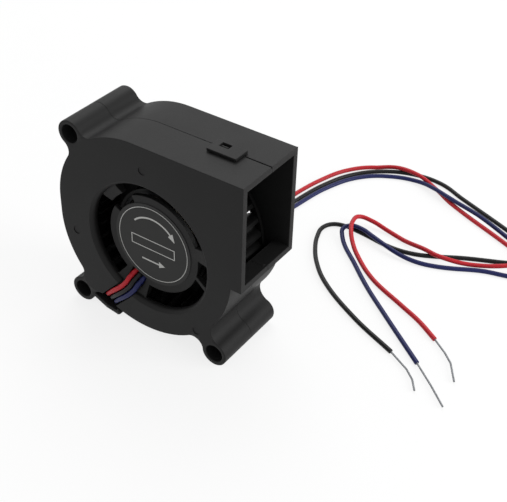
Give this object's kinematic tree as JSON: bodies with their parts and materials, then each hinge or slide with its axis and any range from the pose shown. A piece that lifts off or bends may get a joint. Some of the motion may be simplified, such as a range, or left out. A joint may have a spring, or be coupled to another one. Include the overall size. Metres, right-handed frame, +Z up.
{
  "type": "dc blower fan",
  "caption": "Small centrifugal DC blower: a flat scroll housing with mounting ears and a side outlet, an impeller on a brushless motor, and flying leads.",
  "frame": {"origin": "under the middle of the housing's width and depth, on the plane that the two lower ears stand on", "axes": "+X towards the outlet mouth, +Y from the motor base and label towards the rear cover, +Z up"},
  "size_m": [0.0931, 0.099, 0.0518],
  "materials": {
    "housing_plastic": "fine spark-eroded texture, black glass-filled plastic",
    "impeller_plastic": "satin black plastic",
    "label_film": "satin printed film",
    "tube_brass": "turned",
    "bearing_steel": "ground",
    "lamination_steel": "stacked stampings",
    "insulator_nylon": "natural nylon",
    "winding_copper": "enamelled copper wire",
    "board_laminate": "green solder mask",
    "chip_epoxy": "moulded epoxy",
    "capacitor_ceramic": "fired ceramic",
    "solder": "bright solder",
    "yoke_steel": "deep-drawn, zinc plated",
    "magnet_ferrite": "bonded ferrite",
    "shaft_steel": "ground and polished",
    "red_pvc": "extruded insulation",
    "black_pvc": "extruded insulation",
    "blue_pvc": "extruded insulation",
    "tinned_strand": "tinned copper strands"
  },
  "bodies": {
    "housing": {"front_housing": "housing_plastic", "rear_cover": "housing_plastic", "label": "label_film", "bearing_tube": "tube_brass", "front_bearing": "bearing_steel", "rear_bearing": "bearing_steel", "stator_core": "lamination_steel", "front_insulator": "insulator_nylon", "rear_insulator": "insulator_nylon", "coil_1": "winding_copper", "coil_2": "winding_copper", "coil_3": "winding_copper", "coil_4": "winding_copper", "circuit_board": "board_laminate", "driver_chip": "chip_epoxy", "hall_sensor": "chip_epoxy", "capacitor": "capacitor_ceramic", "resistor": "chip_epoxy", "solder_joints": "solder", "red_lead": "red_pvc", "black_lead": "black_pvc", "blue_lead": "blue_pvc", "red_tinned_end": "tinned_strand", "black_tinned_end": "tinned_strand", "blue_tinned_end": "tinned_strand"},
    "rotor": {"impeller": "impeller_plastic", "rotor_yoke": "yoke_steel", "ring_magnet": "magnet_ferrite", "shaft": "shaft_steel", "retaining_clip": "shaft_steel", "thrust_washer": "insulator_nylon", "preload_spring": "shaft_steel"}
  },
  "joints": [
    {"name": "rotor_spin", "type": "hinge", "parent": "housing", "child": "rotor", "pos_m": [0, 0, 0.0245], "axis": [0, 1, 0], "continuous": true}
  ]
}
